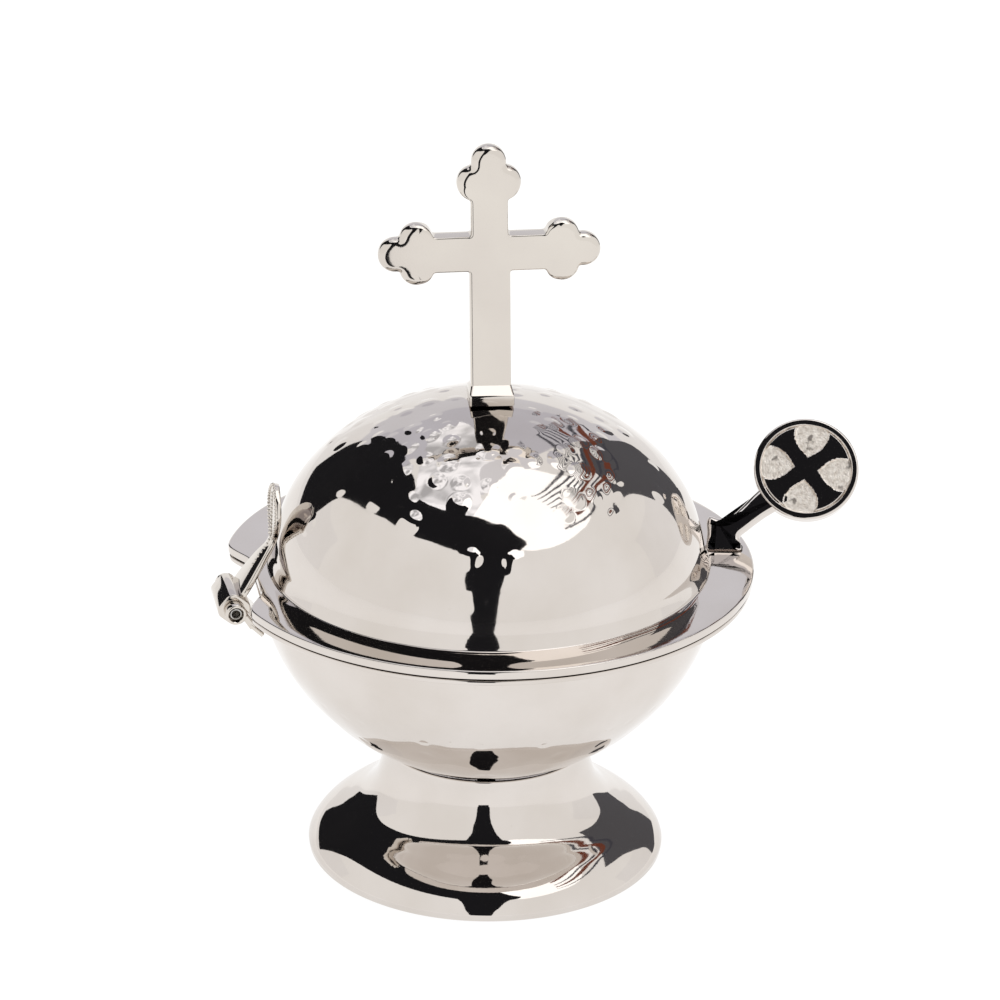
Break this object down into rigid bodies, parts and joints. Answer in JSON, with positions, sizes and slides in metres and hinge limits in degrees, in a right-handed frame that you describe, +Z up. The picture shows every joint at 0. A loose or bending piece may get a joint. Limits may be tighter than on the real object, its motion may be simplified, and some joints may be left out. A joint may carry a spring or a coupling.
{
  "type": "table censer",
  "caption": "Footed table censer: hammered bowl on a spun foot, hinged domed lid with a budded cross, thumb lifter and loose charcoal cup.",
  "frame": {"origin": "middle of the whole object's footprint, on the surface it stands on; the body axis stands 10.58 mm towards -X of it", "axes": "+Z up the body axis; the flat face of the cross looks along -Y; the hinge is at -X and the lifter at +X"},
  "size_m": [0.141, 0.115, 0.1621],
  "materials": {
    "nickel_plate": "mirror-polished nickel plate on brass, hammered on the dome and the bowl",
    "steel": "plain steel fasteners and pin",
    "brass": "satin spun brass, darkened by heat"
  },
  "bodies": {
    "stand": {"foot": "nickel_plate", "bowl": "nickel_plate", "foot_screw": "steel", "foot_washer": "steel", "foot_nut": "steel", "hinge_leaf": "nickel_plate", "hinge_pin": "steel"},
    "lid": {"lid": "nickel_plate", "hinge_strap": "nickel_plate", "cross": "nickel_plate", "cross_stud": "steel", "cross_washer": "steel", "cross_nut": "steel", "lifter": "nickel_plate"},
    "cup": {"charcoal_cup": "brass"}
  },
  "joints": [
    {"name": "lid_hinge", "type": "hinge", "parent": "stand", "child": "lid", "pos_m": [-0.06585, -0.01124, 0.0628], "axis": [0.1994, -0.9799, 0], "range_deg": [0, 105]},
    {"name": "cup_lift", "type": "slide", "parent": "stand", "child": "cup", "axis": [0, 0, 1], "range_m": [0, 0.03]}
  ]
}
